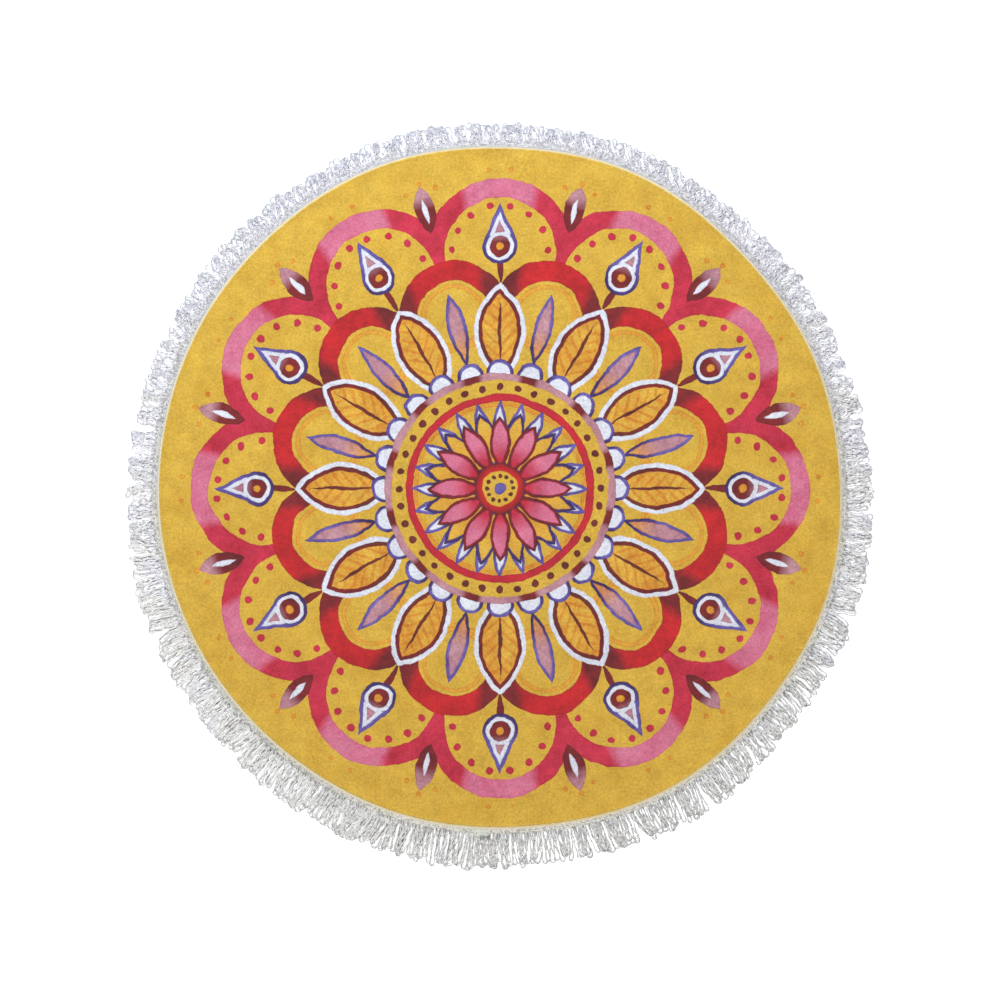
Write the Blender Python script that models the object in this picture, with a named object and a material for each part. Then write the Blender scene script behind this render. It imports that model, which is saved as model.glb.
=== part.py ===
"""Round beach towel lying flat: a disc of cloth with a rolled hem, and a fringe trim sewn round its edge.

Metres, +Z up. The origin is the middle of the cloth, on the floor. +Y is the side where the fringe lies shortest.
"""

import math
import random

import bmesh
import bpy

# Driving sizes, in metres
CLOTH_RADIUS = 0.690  # to the outer edge of the hem, before the outline's unevenness
CLOTH_THICKNESS = 0.0028  # the printed face and the looped back together
HEM_WIDTH = 0.0048
HEM_RISE = 0.0006  # how far the rolled hem stands above the printed face
SEAM_DIP = 0.0005  # how deep the seam pulls the face down beside the hem
SEAM_WIDTH = 0.0040
EDGE_ROUND = 0.0012

TAPE_LAP = 0.0090  # the part of the fringe's tape that runs under the cloth
TAPE_SHOWING = 0.0110  # the part of it that shows outside the hem
TAPE_LAP_THICKNESS = 0.0010
TAPE_THICKNESS = 0.0020  # outside the hem, where the yarn is woven in

LOCK_COUNT = 240
LOCK_REACH = 0.0480  # from the tape to a lock's tip, on average round the towel
LOCK_WIDTH = 0.0150
LOCK_SHORTEST = 0.86  # of its reach; each lock's own length is between this and 1
LOCK_SWAY = 0.0020  # how far a lock's tip strays to either side by itself
SWAY_SEED = 11

SIDE_GAP = 0.0005  # between the tape and the cloth, along the floor
FACE_GAP = 0.0003  # between the tape and the cloth laid over it
CLOTH_SECTORS = 160

# Colours as the renderer's linear values
GOLDEN_YELLOW = (0.74, 0.46, 0.070, 1.0)
COTTON_WHITE = (0.83, 0.84, 0.82, 1.0)

# The cloth was cut and sewn by hand, so its outline strays from a circle in these waves.
OUTLINE_WAVES = (
    # (waves round the edge, height in metres, phase in degrees)
    (2, 0.0036, 91),
    (3, 0.0025, 95),
    (6, 0.0011, -20),
    (8, 0.0016, 167),
    (9, 0.0011, 149),
)

# The fringe is crumpled short on the +Y side and hangs out straight on the -Y side.
REACH_WAVES = (
    # (waves round the edge, height in metres, phase in degrees)
    (1, 0.0176, 92),
    (2, 0.0021, -91),
    (7, 0.0014, 60),
    (11, 0.0017, -41),
)

# Locks near each other lean the same way.
LEAN_WAVES = (
    # (waves round the edge, height in metres, phase in degrees)
    (5, 0.0030, 15),
    (13, 0.0026, 200),
    (29, 0.0022, 80),
)

# A lock from its root to its tip. It holds the same yarn wherever it is, so a crumpled one is thicker.
LOCK_STATIONS = (
    # (share of its length, share of its width, height above the floor in metres at the average length)
    (0.28, 1.03, 0.0042),
    (0.68, 0.92, 0.0038),
    (1.00, 0.52, 0.0022),
)


def waves_at(angle, waves):
    """The sum of a table of waves at an angle round the towel, in metres."""
    return sum(height * math.cos(count * angle + math.radians(phase)) for count, height, phase in waves)


def edge_radius(angle):
    """How far the hem's outer edge is from the middle."""
    return CLOTH_RADIUS + waves_at(angle, OUTLINE_WAVES)


def lock_reach(angle):
    """How far the longest locks reach past the tape."""
    return LOCK_REACH + waves_at(angle, REACH_WAVES)


def polar(radius, angle, height):
    return (radius * math.cos(angle), radius * math.sin(angle), height)


def ring_of(mesh, angles, beyond_edge, height):
    """A ring of points that follows the cloth's outline, this far beyond its edge."""
    return [mesh.verts.new(polar(edge_radius(a) + beyond_edge, a, height)) for a in angles]


def join_rings(mesh, first, second):
    """Quads between two rings with the same number of points."""
    for i in range(len(first)):
        after = (i + 1) % len(first)
        mesh.faces.new((first[i], first[after], second[after], second[i]))


def fabric(name, colour, roughness):
    """A dull woven finish in one colour."""
    material = bpy.data.materials.new(name)
    material.use_nodes = True
    shader = material.node_tree.nodes["Principled BSDF"]
    shader.inputs["Base Color"].default_value = colour
    shader.inputs["Roughness"].default_value = roughness
    shader.inputs["Metallic"].default_value = 0.0
    return material


def finish_object(mesh, name, material):
    """Turns the faces outwards, and puts the mesh into the scene as one object."""
    bmesh.ops.recalc_face_normals(mesh, faces=mesh.faces)
    data = bpy.data.meshes.new(name)
    mesh.to_mesh(data)
    mesh.free()
    data.materials.append(material)
    placed = bpy.data.objects.new(name, data)
    bpy.context.scene.collection.objects.link(placed)
    return placed


def cloth_section():
    """The cloth's section as (distance beyond the edge, height), from its face over the hem to its back."""
    seam = -HEM_WIDTH - SEAM_WIDTH / 2
    hem_top = CLOTH_THICKNESS + HEM_RISE
    over_tape = TAPE_LAP_THICKNESS + FACE_GAP
    lap_end = -TAPE_LAP - SIDE_GAP
    return (
        (seam - SEAM_WIDTH / 2, CLOTH_THICKNESS),
        (seam, CLOTH_THICKNESS - SEAM_DIP),
        (-HEM_WIDTH, CLOTH_THICKNESS),
        (-HEM_WIDTH + EDGE_ROUND, hem_top),
        (-EDGE_ROUND, hem_top),
        (0.0, CLOTH_THICKNESS - SEAM_DIP),
        (0.0, over_tape),
        (lap_end, over_tape),
        (lap_end, 0.0),
    )


def make_cloth():
    """The disc of cloth, its hem rolled, its edge raised over the tape that is sewn under it."""
    mesh = bmesh.new()
    angles = [2 * math.pi * i / CLOTH_SECTORS for i in range(CLOTH_SECTORS)]
    rings = [ring_of(mesh, angles, beyond, height) for beyond, height in cloth_section()]
    for inner, outer in zip(rings, rings[1:]):
        join_rings(mesh, inner, outer)
    mesh.faces.new(rings[0])
    mesh.faces.new(rings[-1])
    return finish_object(mesh, "cloth", fabric("printed_cloth", GOLDEN_YELLOW, 0.9))


def tape_rings(mesh, borders):
    """The tape's bottom corner, its lap under the cloth and its step up outside the hem, from inside outwards."""
    section = (
        (-TAPE_LAP, 0.0),
        (-TAPE_LAP, TAPE_LAP_THICKNESS),
        (SIDE_GAP, TAPE_LAP_THICKNESS),
        (SIDE_GAP, TAPE_THICKNESS),
    )
    return [ring_of(mesh, borders, beyond, height) for beyond, height in section]


def root_corners(mesh, angle):
    """A lock's four root corners on the tape's outer wall: the floor's two, then the top's two."""
    radius = edge_radius(angle) + TAPE_SHOWING
    half = LOCK_WIDTH / 2 / radius
    sides = (angle - half, angle + half)
    radii = [edge_radius(a) + TAPE_SHOWING for a in sides]
    low = [mesh.verts.new(polar(r, a, 0.0)) for r, a in zip(radii, sides)]
    high = [mesh.verts.new(polar(r, a, TAPE_THICKNESS)) for r, a in zip(radii, sides)]
    return (low[0], low[1], high[1], high[0])


def add_lock(mesh, angle, root, length, lean):
    """One lock of yarn: a flat four-sided strand that runs out from its root and lies level on the floor."""
    start = edge_radius(angle) + TAPE_SHOWING
    pile_up = math.sqrt(LOCK_REACH / length)
    last = root
    for along, across, usual_height in LOCK_STATIONS:
        height = usual_height * pile_up
        radius = start + length * along
        middle = angle + lean * along * along / radius
        half = LOCK_WIDTH * across / 2 / radius
        corners = (
            (middle - half, 0.0),
            (middle + half, 0.0),
            (middle + half, height),
            (middle - half, height),
        )
        section = [mesh.verts.new(polar(radius, a, z)) for a, z in corners]
        join_rings(mesh, last, section)
        last = section
    mesh.faces.new(last)


def make_fringe():
    """The woven tape, one closed ring, with its locks of yarn standing apart from its outer wall."""
    mesh = bmesh.new()
    pitch = 2 * math.pi / LOCK_COUNT
    borders = [pitch * (i - 0.5) for i in range(LOCK_COUNT)]
    bottom, lap_inner, lap_outer, step = tape_rings(mesh, borders)
    join_rings(mesh, bottom, lap_inner)
    join_rings(mesh, lap_inner, lap_outer)
    join_rings(mesh, lap_outer, step)
    chance = random.Random(SWAY_SEED)
    roots = [root_corners(mesh, pitch * i) for i in range(LOCK_COUNT)]
    for i, root in enumerate(roots):
        angle = pitch * i
        after = (i + 1) % LOCK_COUNT
        low_left, low_right, high_right, high_left = root
        next_low, _, _, next_high = roots[after]
        mesh.faces.new((bottom[i], bottom[after], low_right, low_left))
        mesh.faces.new((step[i], step[after], high_right, high_left))
        mesh.faces.new((bottom[after], next_low, low_right))
        mesh.faces.new((step[after], next_high, high_right))
        mesh.faces.new((low_right, next_low, next_high, high_right))
        length = lock_reach(angle) * chance.uniform(LOCK_SHORTEST, 1.0)
        lean = waves_at(angle, LEAN_WAVES) + chance.uniform(-LOCK_SWAY, LOCK_SWAY)
        add_lock(mesh, angle, root, length, lean)
    return finish_object(mesh, "fringe", fabric("fringe_cotton", COTTON_WHITE, 0.85))


def main():
    for old in list(bpy.data.objects):
        bpy.data.objects.remove(old)
    make_cloth()
    make_fringe()


main()
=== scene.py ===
# Round beach towel, seen from straight above: the finish of its cloth, hem, woven tape and looped fringe.
# Metres, +Z up. The middle of the cloth is at the origin, and the towel lies on the floor at z = 0.
import math
import random

import bmesh
import bpy
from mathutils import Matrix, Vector


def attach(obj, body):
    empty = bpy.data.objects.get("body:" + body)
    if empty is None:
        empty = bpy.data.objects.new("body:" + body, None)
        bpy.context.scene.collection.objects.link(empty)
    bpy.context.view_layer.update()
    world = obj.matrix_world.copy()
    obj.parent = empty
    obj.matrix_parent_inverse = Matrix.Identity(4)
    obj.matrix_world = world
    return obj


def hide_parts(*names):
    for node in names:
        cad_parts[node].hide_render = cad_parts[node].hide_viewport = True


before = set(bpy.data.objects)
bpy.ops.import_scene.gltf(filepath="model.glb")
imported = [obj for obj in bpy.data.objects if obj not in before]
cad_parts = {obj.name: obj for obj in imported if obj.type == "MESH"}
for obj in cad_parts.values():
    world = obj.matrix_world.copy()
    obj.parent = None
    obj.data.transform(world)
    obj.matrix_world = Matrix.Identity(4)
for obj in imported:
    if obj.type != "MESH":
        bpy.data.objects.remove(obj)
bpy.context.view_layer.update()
print("frame loaded:", sorted(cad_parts))

# The towel's own sizes, as in its solids
towel = {
    "clothRadius": 0.690,  # to the hem's outer edge, before the outline's unevenness
    "clothThickness": 0.0028,
    "hemWidth": 0.0048,
    "hemRise": 0.0006,
    "seamWidth": 0.0040,
    "seamDip": 0.0005,
    "edgeRound": 0.0012,
    "tapeLap": 0.0090,  # the tape's part under the cloth
    "tapeShowing": 0.0110,
    "tapeLapThickness": 0.0010,
    "tapeThickness": 0.0020,
    "faceGap": 0.0003,
    "puckerFade": 0.028,  # how far the sewn edge's puckers reach
    "rippleEnd": (-0.004, 0.046),  # beyond the edge: where the swells begin to die away, and where they end
    "lockCount": 240,
    "lockReach": 0.0480,
    "lockShortest": 0.86,
    "lockSway": 0.0020,
    "swaySeed": 11,
    "sectors": 720,
}

# waves round the edge, height in metres, phase in degrees
outlineWaves = ((2, 0.0036, 91), (3, 0.0025, 95), (6, 0.0011, -20), (8, 0.0016, 167), (9, 0.0011, 149))
reachWaves = ((1, 0.0176, 92), (2, 0.0021, -91), (7, 0.0014, 60), (11, 0.0017, -41))
leanWaves = ((5, 0.0030, 15), (13, 0.0026, 200), (29, 0.0022, 80))
puckerWaves = ((53, 0.00010, 10), (89, 0.00014, 75), (131, 0.00012, 200))

# length in metres, direction in degrees, height in metres, phase in degrees
clothRipples = (
    (0.43, 18, 0.00045, 20),
    (0.31, 83, 0.00040, 130),
    (0.22, 141, 0.00030, 250),
    (0.15, -38, 0.00018, 75),
)


def wavesAt(angle, waves):
    return sum(height * math.cos(count * angle + math.radians(phase)) for count, height, phase in waves)


def edgeRadius(angle):
    return towel["clothRadius"] + wavesAt(angle, outlineWaves)


def lockReachAt(angle):
    return towel["lockReach"] + wavesAt(angle, reachWaves)


def rippleAt(x, y):
    # soft swells of the spread cloth, never below the floor
    total = 0.0
    for length, direction, height, phase in clothRipples:
        turn = math.radians(direction)
        along = x * math.cos(turn) + y * math.sin(turn)
        total += height * (1 + math.cos(2 * math.pi * along / length + math.radians(phase)))
    return total


def puckerAt(angle, beyond):
    # the sewn edge is drawn in a little, which lifts it in short waves
    most = sum(height for count, height, phase in puckerWaves)
    return (most + wavesAt(angle, puckerWaves)) * math.exp(-abs(beyond) / towel["puckerFade"])


def liftAt(angle, beyond):
    # how far the cloth or the tape is off the floor, by place
    radius = edgeRadius(angle) + beyond
    first, last = towel["rippleEnd"]
    fade = 1 - min(max((beyond - first) / (last - first), 0.0), 1.0)
    lift = rippleAt(radius * math.cos(angle), radius * math.sin(angle)) * fade
    return lift + puckerAt(angle, beyond)


def polar(angle, beyond, height):
    # a place by its angle, its distance beyond the hem's outer edge and its height over the cloth's underside
    radius = edgeRadius(angle) + beyond
    return (radius * math.cos(angle), radius * math.sin(angle), height + liftAt(angle, beyond))


class Signal:
    # One socket of a shader tree. Arithmetic on it adds Math nodes.
    def __init__(self, tree, socket=None):
        self.tree = tree
        self.socket = socket

    def node(self, kind, settings=None, sockets=None, output=0):
        made = self.tree.nodes.new("ShaderNode" + kind)
        for name, value in (settings or {}).items():
            setattr(made, name, value)
        for key, value in (sockets or {}).items():
            if isinstance(value, Signal):
                self.tree.links.new(value.socket, made.inputs[key])
            else:
                made.inputs[key].default_value = value
        return Signal(self.tree, made.outputs[output])

    def math(self, operation, *values, clamp=False):
        return self.node("Math", {"operation": operation, "use_clamp": clamp}, dict(enumerate(values)))

    def __add__(self, other):
        return self.math("ADD", self, other)

    def __radd__(self, other):
        return self.math("ADD", other, self)

    def __sub__(self, other):
        return self.math("SUBTRACT", self, other)

    def __rsub__(self, other):
        return self.math("SUBTRACT", other, self)

    def __mul__(self, other):
        return self.math("MULTIPLY", self, other)

    def __rmul__(self, other):
        return self.math("MULTIPLY", other, self)

    def __truediv__(self, other):
        return self.math("DIVIDE", self, other)

    def clamped(self):
        return self.math("ADD", self, 0.0, clamp=True)

    def size(self):
        return self.math("ABSOLUTE", self)

    def least(self, other):
        return self.math("MINIMUM", self, other)

    def most(self, other):
        return self.math("MAXIMUM", self, other)

    def ramp(self, low, high):
        # 0 at low, 1 at high, straight between
        return self.math("MULTIPLY_ADD", self, 1 / (high - low), -low / (high - low), clamp=True)

    def sine(self):
        return self.math("SINE", self)

    def axes(self):
        # a vector's x and y
        split = self.node("SeparateXYZ", None, {0: self})
        return split, Signal(self.tree, split.socket.node.outputs[1])

    def mixed(self, first, second):
        # self is the share of the second colour
        return self.node("Mix", {"data_type": "RGBA"}, {"Factor": self, 6: first, 7: second}, output=2)

    def tinted(self, colour):
        # the colour self multiplied by another one
        settings = {"data_type": "RGBA", "blend_type": "MULTIPLY"}
        return self.node("Mix", settings, {"Factor": 1.0, 6: self, 7: colour}, output=2)

    def scaled(self, factor):
        return self.node("VectorMath", {"operation": "SCALE"}, {0: self, "Scale": factor})

    def moved(self, offset):
        return self.node("VectorMath", {"operation": "ADD"}, {0: self, 1: offset})

    def noise(self, size, detail=2.0, roughness=0.5, output=0):
        # size is the width of a patch, in metres
        sockets = {"Vector": self, "Scale": 1 / size, "Detail": detail, "Roughness": roughness}
        return self.node("TexNoise", None, sockets, output)

    def beyondEdge(self):
        # each point's distance beyond the hem's outer edge, as followOutline kept it
        return self.node("Attribute", {"attribute_name": "beyondEdge"}, output=2)

    def distanceTo(self, place):
        return self.node("VectorMath", {"operation": "DISTANCE"}, {0: self, 1: place}, output=1)

    def bumped(self, shader, strength, distance, settings=None):
        # self is the height that the shader's normal follows, and distance its full range in metres
        sockets = {"Strength": strength, "Distance": distance, "Height": self}
        feed(shader, "Normal", self.node("Bump", settings, sockets))


def startMaterial(name, roughness, sheen=0.0, settings=None):
    # returns the new material, its shader and its piece's own coordinates
    material = bpy.data.materials.new(name)
    material.use_nodes = True
    shader = material.node_tree.nodes["Principled BSDF"]
    for key, value in {"Roughness": roughness, "Sheen Weight": sheen, **(settings or {})}.items():
        shader.inputs[key].default_value = value
    return material, shader, Signal(material.node_tree).node("TexCoord", output=3)


def feed(shader, socket, signal):
    signal.tree.links.new(signal.socket, shader.inputs[socket])


def srgb(red, green, blue):
    # a colour as seen on a screen, 0 to 255, as the renderer's linear value
    def linear(value):
        share = value / 255
        return share / 12.92 if share <= 0.04045 else ((share + 0.055) / 1.055) ** 2.4

    return (linear(red), linear(green), linear(blue), 1.0)


# a light and a deep tone of each pigment, as it dries on the cloth
pigments = {
    "ground": (srgb(227, 182, 63), srgb(211, 160, 42)),
    "orange": (srgb(236, 170, 52), srgb(208, 118, 20)),
    "gold": (srgb(234, 186, 68), srgb(216, 146, 34)),
    "crimson": (srgb(216, 30, 34), srgb(164, 10, 18)),
    "maroon": (srgb(142, 30, 32), srgb(84, 10, 16)),
    "raspberry": (srgb(218, 48, 76), srgb(172, 16, 40)),
    "rose": (srgb(226, 128, 154), srgb(206, 84, 118)),
    "mauve": (srgb(206, 152, 158), srgb(168, 100, 116)),
    "violet": (srgb(122, 106, 180), srgb(66, 46, 126)),
    "night": (srgb(78, 52, 120), srgb(34, 18, 66)),
    "white": (srgb(236, 236, 241), srgb(216, 212, 224)),
    "brown": (srgb(128, 44, 30), srgb(78, 14, 14)),
}

brush = {
    "wobble": 0.0100,  # how far it strays, in metres, over the noise's whole range
    "wobbleSize": 0.050,
    "shake": 0.0042,
    "shakeSize": 0.012,
    "washSize": 0.055,  # patches of thicker pigment
    "washShare": 1.9,
    "speckSize": 0.009,
    "speckShare": 1.1,
    "thinnest": 1.1,  # taken off both, so that some places stay at the light tone
    "edge": 0.0014,  # how soft a stroke's border is
    "rimWidth": 0.0026,  # the darker line where pigment dried along a border
    "rimDepth": 0.50,
}


class Painter:
    # paints one motif after another over the ground colour
    def __init__(self, place):
        wide = place.noise(brush["wobbleSize"], detail=1.0, output=1).moved((-0.5, -0.5, -0.5))
        fine = place.noise(brush["shakeSize"], detail=1.0, output=1).moved((-0.5, -0.5, -0.5))
        strayed = place.moved(wide.scaled(brush["wobble"])).moved(fine.scaled(brush["shake"]))
        x, y = strayed.axes()
        self.radius = strayed.node("CombineXYZ", None, {0: x, 1: y}).distanceTo((0, 0, 0))
        self.angle = y.math("ARCTAN2", y, x)
        wash = place.noise(brush["washSize"], detail=4.0, roughness=0.6)
        speck = place.noise(brush["speckSize"], detail=3.0, roughness=0.7)
        self.wash = (wash * brush["washShare"] + speck * brush["speckShare"] - brush["thinnest"]).clamped()
        self.colour = self.wash.mixed(*pigments["ground"])

    def folded(self, count, turned=0.0):
        # the plane folded into one half of count equal sectors; x runs along the sector's axis, and the
        # second signal goes from 0 on that axis to 1 at the sector's border
        half = math.pi / count
        fold = (self.angle + turned).math("PINGPONG", self.angle + turned, half)
        across = self.radius * fold.sine()
        along = self.radius * fold.math("COSINE", fold)
        place = across.node("CombineXYZ", None, {0: along, 1: across})
        return place, fold / half

    def paint(self, distance, name, second=None, turn=None):
        # distance is below 0 inside the motif; turn is where a second pigment takes over
        rim = distance.ramp(-brush["rimWidth"], 0.0) * brush["rimDepth"]
        depth = (self.wash + rim).clamped()
        tone = depth.mixed(*pigments[name])
        if second:
            tone = turn.mixed(tone, depth.mixed(*pigments[second]))
        inside = distance.ramp(brush["edge"] / 2, -brush["edge"] / 2)
        self.colour = inside.mixed(self.colour, tone)


def disc(place, middle, radius, aside=0.0):
    return place.distanceTo((middle, aside, 0)) - radius


def lens(place, middle, length, halfWidth):
    # a petal pointed at both ends: two circles' overlap, one of them folded away
    offset = ((length / 2) ** 2 - halfWidth**2) / (2 * halfWidth)
    return place.distanceTo((middle, -offset, 0)) - (offset + halfWidth)


def drop(place, middle, radius, tip):
    # a teardrop: a disc with a straight-sided point drawn out to the tip
    slope = radius / (tip - middle)
    rise = math.sqrt(1 - slope * slope)
    along, across = place.axes()
    side = along * slope + across * rise - tip * slope
    point = side.most((middle + radius * slope) - along)
    return disc(place, middle, radius).least(point)


def lobe(place, middle, radius, within):
    # a disc together with all that is nearer the towel's middle than within
    return disc(place, middle, radius).least(disc(place, 0.0, within))


def ring(place, middle, width):
    return disc(place, 0.0, middle).size() - width / 2


veins = {"pitch": 0.0235, "slant": 0.9, "height": 0.004, "gap": 0.0024, "inset": 0.012}


def veined(place, *sizes):
    # the slanting lines inside a lens
    along, across = place.axes()
    phase = (along - across * veins["slant"]) * (2 * math.pi / veins["pitch"])
    line = phase.sine() * -veins["height"] + veins["gap"]
    return line.most(lens(place, *sizes) + veins["inset"])


lobeDots = {"middle": 0.474, "away": 0.096, "radius": 0.0072, "turns": (12, 37, 62, 87)}


def lobeDot(turn):
    # a dot's sizes, by the degrees that it is turned round its lobe
    away, turned = lobeDots["away"], math.radians(turn)
    return (lobeDots["middle"] + away * math.cos(turned), lobeDots["radius"], away * math.sin(turned))


leafSizes = (0.316, 0.176, 0.044)

# The mandala's strokes, in metres, from its outer lobes to its middle. A row has a shape, the fold that it is
# in, the shape's sizes and its coats of pigment. A coat has its inset, or the two insets of a band, and its
# pigment. Where that goes over into a second one, the measure that it follows comes next, with its two ends.
strokes = (
    # outer lobes in rose, raspberry where two meet, with dots along the inside
    (lobe, "petal", (0.474, 0.150, 0.492), ((0.0, 0.038), "rose", "raspberry", "side", 0.40, 0.52)),
    *((disc, "petal", lobeDot(turn), (0, "raspberry")) for turn in lobeDots["turns"]),
    # a dark leaf out of every valley between two lobes
    (lens, "between", (0.580, 0.096, 0.0210), (0, "maroon", "mauve", "radius", 0.582, 0.606)),
    (lens, "between", (0.576, 0.050, 0.0056), (0, "white")),
    # crimson lobes between them, maroon in their valleys
    (
        lobe,
        "between",
        (0.358, 0.112, 0.345),
        ((0.0, 0.040), "crimson", "maroon", "side", 0.54, 0.72),
        ((0.047, 0.056), "orange", "gold", "wash", 0, 1),
    ),
    # a tulip in every opening, on a short stem
    (lens, "petal", (0.448, 0.080, 0.0070), (0, "maroon")),
    (
        drop,
        "petal",
        (0.488, 0.0350, 0.574),
        (0, "violet", "night", "radius", 0.520, 0.480),
        (0.007, "white"),
        (0.014, "maroon", "mauve", "radius", 0.496, 0.520),
    ),
    (disc, "petal", (0.488, 0.0080), (0, "orange")),
    # slim leaves, and between them white-edged petals with painted veins
    (
        lens,
        "between",
        (0.330, 0.150, 0.019),
        (0, "violet", "night", "radius", 0.330, 0.290),
        (0.006, "mauve", "orange", "radius", 0.330, 0.270),
    ),
    (
        lens,
        "petal",
        leafSizes,
        (-0.008, "white"),
        (0.001, "maroon", "brown", "radius", 0.340, 0.290),
        (0.009, "gold", "orange", "wash", 0, 1),
    ),
    (veined, "petal", leafSizes, (0, "orange")),
    (lens, "petal", (0.316, 0.130, 0.0034), (0, "brown")),
    # a beaded ring with white scallops
    (disc, "half", (0.233, 0.0270), (0, "violet", "night", "side", 0.45, 0.80), (0.007, "white")),
    (disc, "petal", (0, 0.232), (0, "mauve", "maroon", "side", 0.60, 0.80), (0.014, "ground")),
    (disc, "beads", (0.203, 0.0072), (0, "brown")),
    (ring, "petal", (0.182, 0.015), (0, "crimson", "raspberry", "wash", 0, 1)),
    (ring, "petal", (0.169, 0.007), (0, "orange")),
    # the middle rosette: white points over violet, and rose petals over gold darts
    (disc, "petal", (0, 0.163), (0, "ground")),
    (lens, "half", (0.126, 0.104, 0.0150), (0, "violet", "night", "radius", 0.150, 0.130), (0.006, "white")),
    (lens, "between", (0.100, 0.118, 0.0215), (0, "night"), (0.006, "gold", "orange", "radius", 0.13, 0.08)),
    (lens, "petal", (0.092, 0.110, 0.0210), (0, "maroon"), (0.006, "rose", "raspberry", "radius", 0.1, 0.06)),
    (disc, "petal", (0, 0.050), (0, "crimson", "maroon", "radius", 0.040, 0.050), (0.014, "ground")),
    (disc, "petal", (0.026, 0.0042), (0, "brown")),
    (disc, "petal", (0, 0.012), (0, "violet")),
    # faint dots out in the plain margin
    (disc, "between", (0.634, 0.0052), (0, "orange")),
    (disc, "between", (0.618, 0.0050, 0.030), (0, "orange")),
    (disc, "petal", (0.640, 0.0046, 0.024), (0, "orange")),
)


def drawMandala(art, sectors=12):
    folds = {
        "petal": art.folded(sectors),
        "between": art.folded(sectors, math.pi / sectors),
        "half": art.folded(sectors * 2),
        "beads": art.folded(sectors * 3),
    }
    for shape, fold, sizes, *coats in strokes:
        place, side = folds[fold]
        distance = shape(place, *sizes)
        measures = {"radius": art.radius, "wash": art.wash, "side": side}
        for inset, pigment, *turning in coats:
            if isinstance(inset, tuple):
                outer, inner = inset
                coat = (distance + (outer + inner) / 2).size() - (inner - outer) / 2
            else:
                coat = distance + inset
            if turning:
                second, measure, low, high = turning
                art.paint(coat, pigment, second, measures[measure].ramp(low, high))
            else:
                art.paint(coat, pigment)


velour = {
    "napSize": 0.0046,
    "napShare": 0.74,  # of the shade
    "napHeight": 0.6,  # of the bump
    "tuftSize": 0.0011,
    "tuftShare": 0.20,
    "tuftHeight": 0.4,
    "driftSize": 0.035,
    "driftShare": 0.30,
    "darkest": 0.06,
    "lightest": 0.90,
    "depth": 0.0016,
    "seamFluffAndLight": (-0.0078, -0.0054),  # beyond the edge: where the cream thread's fluff, with painted light over the seam's groove, begins and is full
    "seamFluffAndLightShare": 0.7,
    "seamFluffAndLightColour": srgb(238, 198, 84),
    "seamStray": 0.0030,
    "seamStraySize": 0.010,
}


def printedVelour():
    material, shader, place = startMaterial("printedVelour", 0.9, 0.15, {"Sheen Roughness": 0.5})
    art = Painter(place)
    drawMandala(art)
    nap = place.noise(velour["napSize"], detail=3.0, roughness=0.7)
    tuft = place.noise(velour["tuftSize"], detail=2.0, roughness=0.6)
    drift = place.noise(velour["driftSize"], detail=3.0, roughness=0.6)
    shade = nap * velour["napShare"] + drift * velour["driftShare"] + tuft * velour["tuftShare"]
    shade = (shade + velour["darkest"]).least(velour["lightest"])
    grey = shade.node("CombineColor", None, {0: shade, 1: shade, 2: shade})
    # the cream thread's fluff over the seam, and painted light that lifts the groove's shade there
    stray = place.noise(velour["seamStraySize"]) * velour["seamStray"] - velour["seamStray"] / 2
    fluffAndLight = (place.beyondEdge() + stray).ramp(*velour["seamFluffAndLight"]) * velour["seamFluffAndLightShare"]
    feed(shader, "Base Color", fluffAndLight.mixed(art.colour, velour["seamFluffAndLightColour"]).tinted(grey))
    (nap * velour["napHeight"] + tuft * velour["tuftHeight"]).bumped(shader, 0.55, velour["depth"])
    return material


terry = {
    "loopsPerMetre": 520.0,
    "loopShare": 0.5,
    "tintSize": 0.05,
    "tintShare": 0.3,
    "light": srgb(226, 224, 216),
    "deep": srgb(198, 194, 184),
    "depth": 0.0012,
}


def terryBack():
    # uncut loops in plain white
    material, shader, place = startMaterial("terryBack", 0.95, 0.1)
    sockets = {"Vector": place, "Scale": terry["loopsPerMetre"], "Randomness": 0.7}
    loops = place.node("TexVoronoi", None, sockets)
    tint = place.noise(terry["tintSize"], detail=3.0)
    shade = (loops * terry["loopShare"] + tint * terry["tintShare"]).clamped()
    feed(shader, "Base Color", shade.mixed(terry["light"], terry["deep"]))
    loops.bumped(shader, 0.7, terry["depth"], {"invert": True})
    return material


rolledHem = {
    "patchSize": 0.018,
    "cream": srgb(211, 203, 187),
    "shadedTopCream": srgb(184, 176, 161),  # painted shade at the towel's top, which the light shows paler
    "top": (0.40, 0.68),
    "ochre": srgb(195, 169, 108),
    "ochreRange": (0.25, 1.0),
    "sheenCream": srgb(225, 210, 170),
    "sheenShare": 0.7,
    "frayed": srgb(206, 203, 197),
    "frayedRange": (-0.0022, -0.0004),
    "innerLitYellow": srgb(236, 208, 130),
    "innerRange": (-0.0020, -0.0036),
    "innerStray": 0.0024,
    "edgeShare": 0.6,  # of the frayed tone and the inner painted light
    "grainSize": 0.0012,
    "depth": 0.0008,
}


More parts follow.
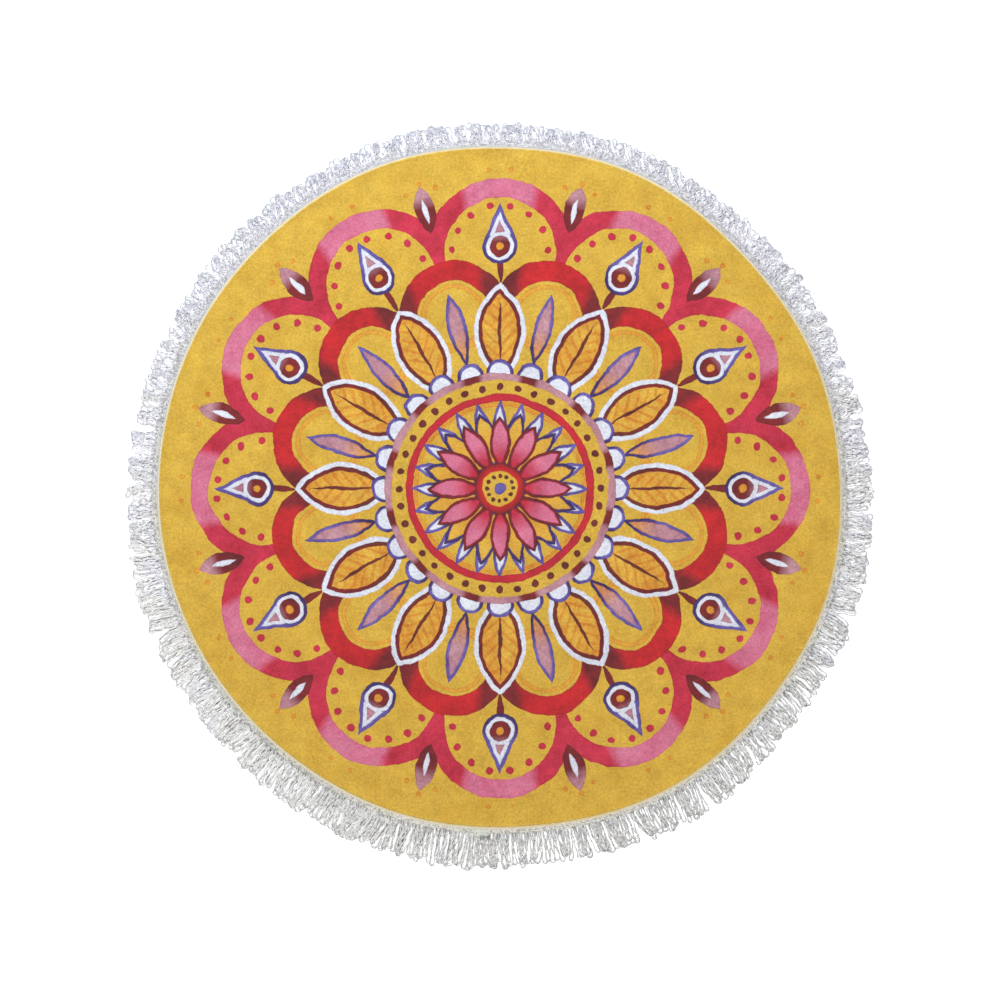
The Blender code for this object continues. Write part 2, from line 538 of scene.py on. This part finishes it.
def hemCloth():
    # the rolled edge, where the ground colour is hidden under cream thread
    material, shader, place = startMaterial("hemCloth", 0.85, 0.1)
    patch = place.noise(rolledHem["patchSize"], detail=4.0, roughness=0.65)
    x, y = place.axes()
    # painted shade: a deeper ochre towards the lower right
    lowerRightShade = ((x - y) * 0.5 + patch).ramp(*rolledHem["ochreRange"])
    # painted sheen: paler cream towards the upper right and the lower left
    paintedSheen = (x * y * 4.0).clamped() * rolledHem["sheenShare"]
    beyond = place.beyondEdge()
    # painted light: a paler yellow up the hem's inner side, against its shade
    inner = (beyond + patch * rolledHem["innerStray"]).ramp(*rolledHem["innerRange"]) * rolledHem["edgeShare"]
    cream = y.ramp(*rolledHem["top"]).mixed(rolledHem["cream"], rolledHem["shadedTopCream"])
    colour = paintedSheen.mixed(lowerRightShade.mixed(cream, rolledHem["ochre"]), rolledHem["sheenCream"])
    frayed = beyond.ramp(*rolledHem["frayedRange"]) * rolledHem["edgeShare"]
    colour = frayed.mixed(colour, rolledHem["frayed"])  # the outer edge shows more thread
    feed(shader, "Base Color", inner.mixed(colour, rolledHem["innerLitYellow"]))
    place.noise(rolledHem["grainSize"]).bumped(shader, 0.6, rolledHem["depth"])
    return material


def newObject(name, data):
    made = bpy.data.objects.new(name, data)
    bpy.context.scene.collection.objects.link(made)
    return made


def meshData(mesh, name):
    data = bpy.data.meshes.new(name)
    mesh.to_mesh(data)
    mesh.free()
    return data


def placeData(data, name, *materials):
    data.name = name
    for material in materials:
        data.materials.append(material)
    data.shade_smooth()
    placed = newObject(name, data)
    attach(placed, "root")
    return placed


def spunSection(corners, closed):
    # corners are (distance beyond the edge, height, cuts up to the next corner), spun into a ring or disc
    mesh = bmesh.new()
    radius = towel["clothRadius"]
    points = [mesh.verts.new((radius + beyond, 0, height)) for beyond, height, cuts in corners]
    edges = [mesh.edges.new(pair) for pair in zip(points, points[1:])]
    if closed:
        edges.append(mesh.edges.new((points[-1], points[0])))
    for edge, (beyond, height, cuts) in zip(edges, corners):
        if cuts:
            bmesh.ops.bisect_edges(mesh, edges=[edge], cuts=cuts)
    bmesh.ops.spin(
        mesh,
        geom=mesh.verts[:] + mesh.edges[:],
        cent=(0, 0, 0),
        axis=(0, 0, 1),
        angle=2 * math.pi,
        steps=towel["sectors"],
        use_merge=True,
    )
    bmesh.ops.remove_doubles(mesh, verts=mesh.verts, dist=0.00001)
    bmesh.ops.recalc_face_normals(mesh, faces=mesh.faces)
    return mesh


def followOutline(mesh):
    # bends a round mesh to the towel's outline and lifts it with the cloth, keeping each point's distance
    # beyond the edge as an attribute
    beyondEdge = mesh.verts.layers.float.new("beyondEdge")
    for vert in mesh.verts:
        radius = math.hypot(vert.co.x, vert.co.y)
        angle = math.atan2(vert.co.y, vert.co.x)
        beyond = radius - towel["clothRadius"]
        vert[beyondEdge] = beyond
        share = min(radius / towel["clothRadius"], 1.0) ** 3
        moved = radius + wavesAt(angle, outlineWaves) * share
        edge = edgeRadius(angle)
        lift = liftAt(angle, moved - edge)
        vert.co = (moved * math.cos(angle), moved * math.sin(angle), vert.co.z + lift)


def makeCloth():
    thick, hem, seamWidth = towel["clothThickness"], towel["hemWidth"], towel["seamWidth"]
    hemTop = thick + towel["hemRise"]
    rounding = towel["edgeRound"]
    overTape = towel["tapeLapThickness"] + towel["faceGap"]
    lapEnd = -towel["tapeLap"] - 0.0005
    finerFrom = -0.090
    seam = -hem - seamWidth / 2
    corners = (
        (-towel["clothRadius"], thick, 22),
        (finerFrom, thick, 10),
        (seam - seamWidth / 2, thick, 1),
        (seam - seamWidth / 6, thick - towel["seamDip"] * 0.8, 0),
        (seam, thick - towel["seamDip"], 0),
        (seam + seamWidth / 4, thick - towel["seamDip"] * 0.7, 0),
        (-hem, thick + 0.0001, 0),
        (-hem + rounding * 0.45, hemTop - 0.0002, 0),
        (-hem + rounding, hemTop, 1),
        (-rounding * 1.3, hemTop, 0),
        (-rounding * 0.45, hemTop - 0.00025, 0),
        (0.0, thick - 0.0004, 0),
        (0.0, overTape + 0.0004, 0),
        (-0.0004, overTape, 1),
        (lapEnd, overTape, 0),
        (lapEnd, 0.0, 0),
        (finerFrom, 0.0, 10),
        (-towel["clothRadius"], 0.0, 0),
    )
    mesh = spunSection(corners, closed=False)
    edge = towel["clothRadius"]
    for face in mesh.faces:
        middle = face.calc_center_median()
        beyond = math.hypot(middle.x, middle.y) - edge
        if beyond > -hem - 0.0001:
            face.material_index = 1
        elif middle.z < thick / 2:
            face.material_index = 2
    followOutline(mesh)
    return placeData(meshData(mesh, "towelCloth"), "towelCloth", printedVelour(), hemCloth(), terryBack())


def threadCurve(name, runs, radius, closed=False, sides=4, shareAt=None):
    # round thread along each run of points, as one mesh with its length in U; shareAt gives a point's share
    # of the radius
    curve = bpy.data.curves.new(name, "CURVE")
    curve.dimensions = "3D"
    curve.bevel_depth = radius
    curve.bevel_resolution = (sides - 4) // 2
    curve.use_fill_caps = not closed
    for run in runs:
        spline = curve.splines.new("POLY")
        spline.points.add(len(run) - 1)
        spline.points.foreach_set("co", [value for point in run for value in (*point, 1.0)])
        if shareAt:
            spline.points.foreach_set("radius", [shareAt(step, len(run)) for step in range(len(run))])
        spline.use_cyclic_u = closed
    holder = newObject(name + "Guide", curve)
    data = bpy.data.meshes.new_from_object(holder.evaluated_get(bpy.context.evaluated_depsgraph_get()))
    bpy.data.objects.remove(holder)
    bpy.data.curves.remove(curve)
    return data


def dyedThread(name, roughness, detail, thread):
    material, shader, place = startMaterial(name, roughness, 0.2)
    patch = place.noise(thread["patchSize"], detail).ramp(0.3, 0.7)
    feed(shader, "Base Color", patch.mixed(thread["light"], thread["deep"]))
    return material


hemThread = {
    "radius": 0.00028,
    "pitch": 0.0026,
    "inner": -0.0062,  # beyond the hem's outer edge
    "outer": 0.0002,
    "stand": 0.00022,
    "patchSize": 0.02,
    "light": srgb(213, 204, 182),
    "deep": srgb(202, 188, 152),
}


def makeHemThread():
    # overlocking: one thread that runs to and fro over the hem
    thick = towel["clothThickness"]
    hemTop = thick + towel["hemRise"]
    stand = hemThread["stand"]
    stitches = round(2 * math.pi * towel["clothRadius"] / hemThread["pitch"])
    section = (
        (hemThread["inner"], thick - towel["seamDip"] * 0.7 + stand),
        (-towel["hemWidth"] + 0.0008, hemTop + stand * 0.6),
        (-towel["edgeRound"], hemTop + stand),
        (hemThread["outer"], thick - 0.0006),
    )
    run = []
    for stitch in range(stitches):
        for step, (beyond, height) in enumerate(section):
            angle = 2 * math.pi * (stitch + step / (2 * len(section))) / stitches
            run.append(polar(angle, beyond, height))
        for step, (beyond, height) in enumerate(reversed(section[1:-1])):
            angle = 2 * math.pi * (stitch + 0.5 + (step + 1) / (2 * len(section) - 2)) / stitches
            run.append(polar(angle, beyond, height))
    data = threadCurve("hemThread", [run], hemThread["radius"], closed=True)
    return placeData(data, "hemThread", dyedThread("creamThread", 0.7, 3.0, hemThread))


tape = {
    "ribWaves": 2000,  # round the towel, two weft ribs in each
    "endPitch": 0.0011,  # from one warp end to the next but one
    "grooves": (0.0032, 0.0077),
    "grooveDepth": 0.0004,
    "grooveEdge": (0.0016, 0.0004),  # from a groove's middle: where its line of painted shade begins and is full
    "innerRise": 0.0007,  # where it climbs against the hem
    "fleckSize": 0.0050,
    "fleckShare": 1.1,
    "weaveShare": 0.25,
    "fleckRange": (0.50, 0.79),
    "dark": srgb(128, 126, 122),
    "light": srgb(223, 218, 212),
    "warm": srgb(254, 251, 242),  # the tint at the towel's bottom
    "cool": srgb(246, 243, 251),  # and at its top
    "tintSize": 0.09,
    # painted shade, after how the light falls: deeper at the left and right sides, to the right, in the
    # grooves and outward; and darker towards the lower left
    "shadeSides": 0.13,
    "shadeRight": 0.03,
    "darkerLowerLeft": 0.11,
    "darkerPlace": (-0.48, -0.50, 0.0),
    "darkerSpot": (0.32, 0.12),  # from that place: where the darkening begins and is full
    "shadeGroove": 0.25,
    "shadeOutward": 0.06,
    "brightness": 0.09,
    "depth": 0.0005,
}

joint = {
    "turn": 266.5,  # degrees round the towel
    "length": 0.0480,
    "inner": 0.0008,  # beyond the hem's edge
    "outer": 0.0152,
    "taper": 0.40,  # of the width, towards both ends
    "skew": 0.12,  # how much shorter it is at its outer side
    "cuts": 17,
    "height": 0.0022,
    "climb": 0.0028,  # over the yarn's roots
    "endDrop": 0.0012,  # into the tape, at both ends
    "thickness": 0.0010,
    "rimThin": 0.75,  # share of the thickness lost at its rim
    "creases": ((0.00025, 17, 5), (0.00015, -9, 23)),  # height, and radians along and across
    "ragged": ((0.0009, 7), (0.0005, 31)),  # its outer side's unevenness, and radians along
    "doubledLock": 178,
    "dark": srgb(172, 174, 167),
    "light": srgb(218, 220, 213),
    "freshMiddle": (0.0088, 0.003),  # beyond the edge, and height
    "freshSpot": (0.026, 0.010),
}


def cottonTape():
    # paler where its end is laid over, at the joint
    material, shader, place = startMaterial("cottonTape", 0.9, 0.1)
    x, y = place.axes()
    beyond = place.beyondEdge()
    ribs = (y.math("ARCTAN2", y, x) * tape["ribWaves"]).sine()
    ends = (beyond * (2 * math.pi / tape["endPitch"])).sine()
    weave = ribs * ends * 0.5 + 0.5
    fleck = place.noise(tape["fleckSize"], detail=3.0, roughness=0.7)
    cool = (place.noise(tape["tintSize"], detail=1.0) + y * 0.5).ramp(0.3, 0.7)
    tone = (fleck * tape["fleckShare"] + weave * tape["weaveShare"]).ramp(*tape["fleckRange"])
    first, second = tape["grooves"]
    groove = (beyond - first).size().least((beyond - second).size()).ramp(*tape["grooveEdge"])
    outward = beyond.ramp(0.0, towel["tapeShowing"])
    middle = polar(math.radians(joint["turn"]), *joint["freshMiddle"])
    fresh = place.distanceTo(middle).ramp(*joint["freshSpot"])
    dark = fresh.mixed(tape["dark"], joint["dark"])
    light = fresh.mixed(tape["light"], joint["light"])
    # painted shade over the tape's own tone, with a spot that is darker towards the lower left
    paintedShade = (x * x - y * y) * tape["shadeSides"] + x * tape["shadeRight"]
    paintedShade = paintedShade + place.distanceTo(tape["darkerPlace"]).ramp(*tape["darkerSpot"]) * tape["darkerLowerLeft"]
    paintedShade = paintedShade + groove * tape["shadeGroove"] + outward * tape["shadeOutward"]
    grey = (tone - paintedShade + tape["brightness"]).clamped().mixed(dark, light)
    feed(shader, "Base Color", grey.tinted(cool.mixed(tape["warm"], tape["cool"])))
    weave.bumped(shader, 0.7, tape["depth"])
    return material


def makeTape(material):
    lap, showing = towel["tapeLap"], towel["tapeShowing"]
    lapTop, top = towel["tapeLapThickness"], towel["tapeThickness"]
    deep = tape["grooveDepth"]
    first, second = tape["grooves"]
    wide = 0.0007
    inner = top + tape["innerRise"]
    corners = (
        (-lap, 0.0, 0),
        (-lap, lapTop, 1),
        (0.0002, lapTop, 0),
        (0.0002, inner - 0.0002, 0),
        (0.0006, inner, 0),
        (first - wide, top + 0.0001, 0),
        (first, top - deep, 0),
        (first + wide, top, 0),
        ((first + second) / 2, top + 0.0002, 0),
        (second - wide, top, 0),
        (second, top - deep, 0),
        (second + wide, top, 0),
        (showing - 0.0005, top - 0.0001, 0),
        (showing, top - 0.0005, 0),
        (showing, 0.0, 1),
    )
    mesh = spunSection(corners, closed=True)
    followOutline(mesh)
    return placeData(meshData(mesh, "fringeTape"), "fringeTape", material)


def makeTapeJoint(material):
    # the tape's end, turned under and laid over its beginning and the first yarns
    mesh = bmesh.new()
    bmesh.ops.create_cube(mesh, size=1.0)
    bmesh.ops.subdivide_edges(mesh, edges=mesh.edges, cuts=joint["cuts"], use_grid_fill=True)
    beyondEdge = mesh.verts.layers.float.new("beyondEdge")
    turn = math.radians(joint["turn"])
    width = joint["outer"] - joint["inner"]
    for vert in mesh.verts:
        u, v, w = vert.co
        rim = 1 - joint["rimThin"] * max(abs(2 * u), abs(2 * v)) ** 10
        crease = sum(high * math.sin(along * u + across * v) for high, along, across in joint["creases"])
        ragged = sum(far * math.sin(along * u) for far, along in joint["ragged"])
        reach = width * (1 - joint["taper"] * (2 * u) ** 4) + ragged
        beyond = joint["inner"] + (v + 0.5) * reach
        along = u * joint["length"] * (1 - joint["skew"] * v)
        height = joint["height"] + joint["climb"] * (v + 0.5) ** 2 - joint["endDrop"] * (2 * u) ** 6
        height += (joint["thickness"] * (w + 0.5) + crease) * rim
        vert[beyondEdge] = beyond
        vert.co = polar(turn + along / towel["clothRadius"], beyond, height)
    bmesh.ops.recalc_face_normals(mesh, faces=mesh.faces)
    return placeData(meshData(mesh, "tapeJoint"), "tapeJoint", material)


def archedRun(arch, angle, turn, beyond, length, height):
    # a short stitch that runs turn round the towel and length outward; arch gives (share of the way, rise)
    return [polar(angle + turn * share, beyond + length * share, height + rise) for share, rise in arch]


tapeStitch = {
    "radius": 0.00030,
    "length": 0.0032,
    "pitch": 0.0044,
    "stand": 0.0001,
    "arch": ((0.0, -0.0004), (0.2, 0.0002), (0.8, 0.0002), (1.0, -0.0004)),
    "patchSize": 0.03,
    "light": srgb(196, 200, 198),
    "deep": srgb(176, 182, 182),
}


def makeTapeStitches():
    # two rows of lockstitch, each stitch a short arched bit of thread sunk in its groove
    circumference = 2 * math.pi * (towel["clothRadius"] + tape["grooves"][0])
    count = round(circumference / tapeStitch["pitch"])
    turn = 2 * math.pi / count
    length = turn * tapeStitch["length"] / tapeStitch["pitch"]
    base = towel["tapeThickness"] - tape["grooveDepth"] + tapeStitch["stand"]
    runs = []
    for groove in tape["grooves"]:
        for stitch in range(count):
            runs.append(archedRun(tapeStitch["arch"], turn * stitch, length, groove, 0.0, base))
    data = threadCurve("tapeStitches", runs, tapeStitch["radius"])
    return placeData(data, "tapeStitches", dyedThread("stitchThread", 0.6, 2.0, tapeStitch))


rootStitch = {
    "radius": 0.00085,
    "length": (0.0024, 0.0076),
    "perLock": 3,
    "share": 0.60,  # of them that show
    "stray": 0.35,  # aside, as a share of the room that each has
    "clear": 0.55,  # of the joint's length, to both sides of its middle, where none show
    "start": (0.0002, 0.0018),  # inside the tape's outer edge
    "height": 0.0043,
    "gatheredShade": 13,  # dark dashes at the tape's joint, painted shade of the yarn gathered there
    "gatheredTurn": (266.3, 268.4),
    "gatheredStart": 0.0020,  # beyond the tape's outer edge
    "gatheredLength": (0.0055, 0.0110),
    "gatheredHeight": 0.0054,
    "lean": 0.25,  # aside, as a share of the length
    "arch": ((0.0, -0.0012), (0.15, 0.0), (0.6, 0.0004), (1.0, -0.0006)),
    "light": (srgb(166, 164, 160), srgb(196, 197, 202)),  # at the towel's bottom and at its top
    "deep": (srgb(112, 111, 110), srgb(146, 147, 152)),
    "patchSize": 0.02,
    "seed": 5,
}


def makeRootStitches():
    # the grey chain that holds the yarn in the tape shows as a short dash between each two bunches, dark
    # enough to be painted shade between them as well
    chance = random.Random(rootStitch["seed"])
    count = towel["lockCount"] * rootStitch["perLock"]
    dashes = []
    for stitch in range(count):
        angle = 2 * math.pi * (stitch + chance.uniform(-rootStitch["stray"], rootStitch["stray"])) / count
        length = chance.uniform(*rootStitch["length"])
        fromJoint = abs(angle - math.radians(joint["turn"])) * towel["clothRadius"]
        inside = chance.uniform(*rootStitch["start"])
        if fromJoint >= joint["length"] * rootStitch["clear"] and chance.random() < rootStitch["share"]:
            dashes.append((angle, length, -inside, rootStitch["height"]))
    # painted shade of the gathered yarn at the joint, as dark dashes
    for stitch in range(rootStitch["gatheredShade"]):
        turn = math.radians(chance.uniform(*rootStitch["gatheredTurn"]))
        length = chance.uniform(*rootStitch["gatheredLength"])
        dashes.append((turn, length, rootStitch["gatheredStart"], rootStitch["gatheredHeight"]))
    runs = []
    for angle, length, first, height in dashes:
        lean = chance.uniform(-rootStitch["lean"], rootStitch["lean"]) * length / towel["clothRadius"]
        runs.append(archedRun(rootStitch["arch"], angle, lean, towel["tapeShowing"] + first, length, height))
    data = threadCurve("rootStitchesAndShade", runs, rootStitch["radius"])
    material, shader, place = startMaterial("chainThreadAndShade", 0.8)
    # the painted shade is deeper towards the towel's bottom
    towardsTop = place.axes()[1].ramp(-0.4, 0.7)
    light, deep = towardsTop.mixed(*rootStitch["light"]), towardsTop.mixed(*rootStitch["deep"])
    patch = place.noise(rootStitch["patchSize"]).ramp(0.3, 0.7)
    feed(shader, "Base Color", patch.mixed(light, deep))
    return placeData(data, "rootStitchesAndShade", material)


yarn = {
    "radius": 0.00130,
    "squeezed": 0.80,  # share of the radius where the tape holds it
    "slack": (0.006, 0.13),  # yarn beyond its reach, where the fringe is longest and where it is shortest
    "reaches": (0.066, 0.031),
    "perLock": (3.4, 2.45, 3.0),  # loops, where the fringe is longest, at both sides and where it is shortest
    "fewFrom": 1 / 6,  # share of the full crumpling where the sides' number is reached
    "rootInside": 0.0014,  # how far the roots start inside the tape
    "rootGap": (0.0040, 0.0076),  # between a loop's two legs, at the tape
    "tipWidth": (0.0068, 0.0122),
    "tipMore": 0.0020,  # where the fringe is shortest
    "crossings": (0.9, 2.6),  # most times that a loop's legs cross, where the fringe is longest and shortest
    "wave": (0.019, 0.033),  # length of one bend of a crumpled loop
    "loopStray": 3.1,  # how far the loops of one lock differ in their bends, in radians
    "lockTilt": 0.0080,  # at the tip, in metres
    "tiltLost": 0.6,  # share of it, where the fringe is shortest
    "loopTilt": 0.0060,
    "loopAside": 0.3,  # share of a loop's own room at the tape
    "slackStray": (0.7, 1.4),
    "lengths": (0.84, 1.13, 1.09),  # least, most and commonest, as shares of the lock's
    "standOut": 0.20,  # added to the most where the fringe is shortest
    "levelRise": 0.0030,
    "archFrom": 0.25,  # share of the way out where a loop is at its highest
    "tipSag": 0.45,
    "swells": (5, 10),  # radians of rise and fall, where the fringe is longest and where it is shortest
    "swellRise": (0.0010, 0.0036),
    "strands": 5,
    "twistPitch": 0.0032,  # from one strand to the next, along the yarn
    "twistShare": 0.36,
    "patchSize": 0.005,
    "patchShare": 1.2,
    "lightRange": (0.51, 1.03),
    "lineShade": 0.22,  # painted shade along one side of the yarn
    "tipShade": 0.08,
    "nearTurn": 0.15,  # how far both reach, as a share of the way round or along
    # painted light and shade by where the yarn lies round the towel
    "shadeSides": -0.055,
    "shadeSlant": -0.08,
    "shadeRight": 0.030,
    "tintSize": 0.07,
    "warm": srgb(252, 247, 240),
    "cool": srgb(251, 246, 251),
    "shade": srgb(112, 112, 115),
    "topShade": srgb(144, 144, 148),
    "top": (0.42, 0.72),
    "depth": 0.0005,
    "seed": 23,
}


def yarnShare(step, count):
    # the yarn is thinner at the first and last of its points
    return min(yarn["squeezed"] + (1 - yarn["squeezed"]) * min(step, count - 1 - step) / 2, 1.0)


def middleRun(reach, slack, wave, phase):
    # the line between a loop's two legs as (across, outward, heading) points: pushed together, it swings to
    # and fro by the sine of its own length
    swing = math.sqrt(8 * (1 - math.sqrt(1 / (1 + slack))))
    steps = 12 + round(10 * swing)
    length = reach * (1 + slack) / steps
    points = [(0.0, 0.0)]
    for step in range(steps):
        heading = swing * math.sin((step + 0.5) * 2 * math.pi * length / wave + phase)
        across, outward = points[-1]
        points.append((across + length * math.sin(heading), outward + length * math.cos(heading)))
    squeeze = reach / points[-1][1]
    middle = []
    for step, (across, outward) in enumerate(points):
        heading = swing * math.sin(step * 2 * math.pi * length / wave + phase)
        middle.append((across, outward * squeeze, heading))
    return middle


def loopRun(middle, rootGap, tipWidth, crossings):
    # one loop as (across, outward, rise, share of the way out) points, from its first root to its second
    legs = ([], [])
    last = len(middle) - 1
    for step, (across, outward, heading) in enumerate(middle):
        share = step / last
        turned = math.pi * crossings * share
        half = (rootGap + (tipWidth - rootGap) * share**2) / 2
        for leg, side in zip(legs, (-1, 1)):
            aside = side * half * math.cos(turned)
            rise = side * yarn["radius"] * math.sin(turned)
            leg.append((across + aside * math.cos(heading), outward - aside * math.sin(heading), rise, share))
    across, outward, heading = middle[-1]
    side = -math.cos(math.pi * crossings)
    tip = []
    for step in range(1, 6):
        turned = math.pi * step / 6
        aside, ahead = side * tipWidth / 2 * math.cos(turned), tipWidth / 2 * math.sin(turned)
        tipAcross = across + aside * math.cos(heading) + ahead * math.sin(heading)
        tip.append((tipAcross, outward - aside * math.sin(heading) + ahead * math.cos(heading), 0.0, 1.0))
    return legs[0] + tip + legs[1][::-1]


def makeLocks():
    # the clumps of yarn, with the same lengths and leans as the locks of the solid fringe
    chance = random.Random(towel["swaySeed"])
    locks = []
    for lock in range(towel["lockCount"]):
        angle = 2 * math.pi * lock / towel["lockCount"]
        length = lockReachAt(angle) * chance.uniform(towel["lockShortest"], 1.0)
        lean = wavesAt(angle, leanWaves) + chance.uniform(-towel["lockSway"], towel["lockSway"])
        locks.append((angle, length, lean))
    return locks


def loopsOfLock(lock, angle, length, lean, chance):
    runs = []
    start = edgeRadius(angle) + towel["tapeShowing"]
    pitch = 2 * math.pi / towel["lockCount"]
    longest, shortest = yarn["reaches"]
    crumple = min(max((longest - lockReachAt(angle)) / (longest - shortest), 0.0), 1.0) ** 3

    def crumpled(key):
        first, last = yarn[key]
        return first + (last - first) * crumple

    def stray(key):
        return chance.uniform(-yarn[key], yarn[key])

    wave = chance.uniform(*yarn["wave"])
    phase = chance.uniform(0, 2 * math.pi)
    lockTilt = stray("lockTilt") * (1 - yarn["tiltLost"] * crumple)
    many, few, tangled = yarn["perLock"]
    average = many + (few - many) * min(crumple / yarn["fewFrom"], 1.0) + (tangled - few) * crumple
    count = math.floor(average + chance.random())
    for loop in range(count):
        level = (lock + loop) % 2
        share = (loop + 0.5 + stray("loopAside")) / count - 0.5
        tipWidth = chance.uniform(*yarn["tipWidth"]) + chance.uniform(0, yarn["tipMore"]) * crumple
        least, most, common = yarn["lengths"]
        stretch = chance.triangular(least, most + yarn["standOut"] * crumple, common)
        reach = length * stretch + yarn["rootInside"] - tipWidth / 2
        slack = crumpled("slack") * chance.uniform(*yarn["slackStray"])
        tilt = lean + lockTilt + stray("loopTilt")
        bends = phase + stray("loopStray")
        swell = chance.uniform(0, 2 * math.pi)
        crossings = round(chance.uniform(0.0, crumpled("crossings")))
        middle = middleRun(reach, slack, wave, bends)
        points = loopRun(middle, chance.uniform(*yarn["rootGap"]), tipWidth, crossings)
        run = []
        for step, (across, outward, rise, along) in enumerate(points):
            far = min(max(outward / reach, 0.0), 1.0)
            turned = angle + share * pitch + (across + tilt * far * far) / start
            beyond = towel["tapeShowing"] - yarn["rootInside"] + outward
            arch = min(far / yarn["archFrom"], 1.0) * (1 - yarn["tipSag"] * max(2 * far - 1, 0.0))
            wavy = 0.5 + 0.5 * math.sin(swell + along * crumpled("swells"))
            height = yarn["radius"] * yarnShare(step, len(points)) + 0.0001
            height += (level * yarn["levelRise"] + min(crossings, 1) * yarn["radius"]) * arch
            height += wavy * crumpled("swellRise") * arch
            run.append(polar(turned, beyond, height + rise * arch))
        runs.append(run)
    return runs


def cottonYarn():
    # twisted strands along the yarn, greyer and bluer by patches, with a line of painted shade along one side
    # of it, darker at the loops' tips, and painted light and shade by where it lies round the towel
    material, shader, place = startMaterial("cottonYarn", 0.85, 0.15)
    along, around = place.node("UVMap", {"uv_map": "UVMap"}).axes()
    length = sum(yarn["reaches"])  # both legs of a loop of middling length
    turns = along * (length / yarn["twistPitch"]) + around * yarn["strands"]
    twist = (turns * (2 * math.pi)).sine() * 0.5 + 0.5
    patch = place.noise(yarn["patchSize"], detail=3.0, roughness=0.7)
    x, y = place.axes()
    # painted shade: a darker line along one side of the yarn
    line = (around - 0.5).size().ramp(yarn["nearTurn"], 0.0)
    tipped = (along - 0.5).size().ramp(yarn["nearTurn"], 0.0)
    paintedShade = line * yarn["lineShade"] + tipped * yarn["tipShade"] + (x + y) * yarn["shadeRight"]
    paintedShade = paintedShade + (x * x - y * y) * yarn["shadeSides"] + x * y * yarn["shadeSlant"]
    tone = (twist * yarn["twistShare"] + patch * yarn["patchShare"] - paintedShade).ramp(*yarn["lightRange"])
    light = (place.noise(yarn["tintSize"]) + y * 0.35).ramp(0.35, 0.65).mixed(yarn["warm"], yarn["cool"])
    dark = y.ramp(*yarn["top"]).mixed(yarn["shade"], yarn["topShade"])
    feed(shader, "Base Color", tone.mixed(light.tinted(dark), light))
    twist.bumped(shader, 0.6, yarn["depth"])
    return material


def makeLoops(material):
    # four pieces of fringe, one for each quarter of the towel; where the tape laps, so does its yarn
    chance = random.Random(yarn["seed"])
    quarters = [[], [], [], []]
    locks = makeLocks()
    laid = list(enumerate(locks)) + [(joint["doubledLock"], locks[joint["doubledLock"]])]
    for lock, (angle, length, lean) in laid:
        quarters[lock * 4 // len(locks)] += loopsOfLock(lock, angle, length, lean, chance)
    made = []
    for count, runs in enumerate(quarters):
        name = f"fringeLoops{count + 1}"
        data = threadCurve(name, runs, yarn["radius"], sides=8, shareAt=yarnShare)
        made.append(placeData(data, name, material))
    return made


stage = {
    "floorSize": 60.0,
    "floor": {
        "Base Color": srgb(232, 232, 232),
        "Emission Color": (1.0, 1.0, 1.0, 1.0),
        "Emission Strength": 0.40,  # as on a light table, so that no shadow shows between the yarns
    },
    "viewWide": 2.0134,  # how much of the floor the photograph shows from side to side
    "viewMiddle": (0.0, -0.0232),
    "lens": 85.0,
    "sensor": 36.0,
    "world": 0.35,
    "sunTurn": (46.0, 0.0, 15.0),  # from straight down, in degrees: it shines from the lower right
    "sunSize": 10.0,  # in degrees
    "sunPower": 3.22,
    "keyPlace": (-0.6, 1.8, 2.1),
    "keySize": 0.5,
    "keyPower": 53.0,
    "keyColour": (0.70, 0.85, 1.0),
}


def makeStage():
    mesh = bmesh.new()
    bmesh.ops.create_grid(mesh, x_segments=1, y_segments=1, size=stage["floorSize"] / 2)
    data = meshData(mesh, "floor")
    floor = newObject("floor", data)
    data.materials.append(startMaterial("paleFloor", 0.9, settings=stage["floor"])[0])

    camera = bpy.data.cameras.new("camera")
    camera.lens = stage["lens"]
    camera.sensor_width = stage["sensor"]
    placed = newObject("camera", camera)
    placed.location = (*stage["viewMiddle"], stage["viewWide"] * stage["lens"] / stage["sensor"])
    bpy.context.scene.camera = placed

    key = bpy.data.lights.new("key", "AREA")
    key.shape = "DISK"
    key.size = stage["keySize"]
    key.energy = stage["keyPower"]
    key.color = stage["keyColour"]
    lamp = newObject("key", key)
    lamp.location = stage["keyPlace"]
    lamp.rotation_euler = Vector(stage["keyPlace"]).to_track_quat("Z", "Y").to_euler()

    sun = bpy.data.lights.new("sun", "SUN")
    sun.angle = math.radians(stage["sunSize"])
    sun.energy = stage["sunPower"]
    newObject("sun", sun).rotation_euler = [math.radians(turn) for turn in stage["sunTurn"]]

    world = bpy.data.worlds.new("studio")
    world.use_nodes = True
    world.node_tree.nodes["Background"].inputs["Strength"].default_value = stage["world"]
    world.node_tree.nodes["Background"].inputs["Color"].default_value = (1.0, 1.0, 1.0, 1.0)
    bpy.context.scene.world = world
    bpy.context.scene.view_settings.view_transform = "Standard"


makeStage()
print("stage set")
cloth = makeCloth()
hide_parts("cloth")
print("cloth:", len(cloth.data.polygons), "faces")
hem = makeHemThread()
print("hem thread:", len(hem.data.polygons), "faces")
weave = cottonTape()
tapeRing = makeTape(weave)
tapeEnd = makeTapeJoint(weave)
stitches = makeTapeStitches()
chain = makeRootStitches()
print("tape:", len(tapeRing.data.polygons), "faces, stitches:", len(stitches.data.polygons), "faces")
loops = makeLoops(cottonYarn())
print("loops:", [len(piece.data.polygons) for piece in loops], "faces")
fringe = [tapeRing, tapeEnd, stitches, chain, *loops]
for piece in fringe:
    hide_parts("fringe")
